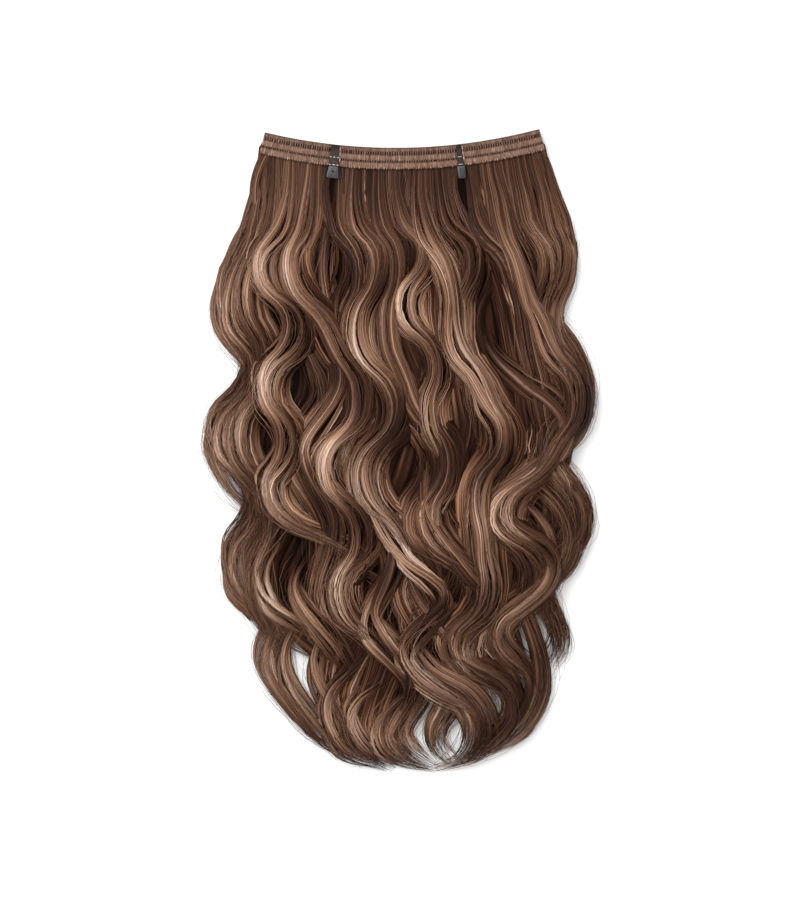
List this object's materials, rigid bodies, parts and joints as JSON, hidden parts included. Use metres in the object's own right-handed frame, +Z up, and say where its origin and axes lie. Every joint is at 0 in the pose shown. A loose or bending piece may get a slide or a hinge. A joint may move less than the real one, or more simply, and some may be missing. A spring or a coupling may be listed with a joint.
{
  "type": "hair weft",
  "caption": "Wavy brown hair weft lying flat: a curved band of sewn tracks with clip tapes, and long hair that falls from it in loose locks.",
  "frame": {"origin": "middle of the weft's outline, on the surface that it lies on", "axes": "+X along the band to the right, +Y from the tips up to the band, +Z up off the surface"},
  "size_m": [0.2755, 0.4493, 0.0236],
  "materials": {
    "hair": "glossy wavy hair in mixed browns",
    "track": "machine-sewn thread over folded hair",
    "tape": "dark woven tape",
    "tab": "satin grey"
  },
  "bodies": {
    "root": {"hair_fall": "hair", "track_upper": "track", "track_middle": "track", "track_lower": "track", "clip_strap_left": "tape", "clip_strap_right": "tape", "clip_tab_left": "tab", "clip_tab_right": "tab"}
  },
  "joints": []
}
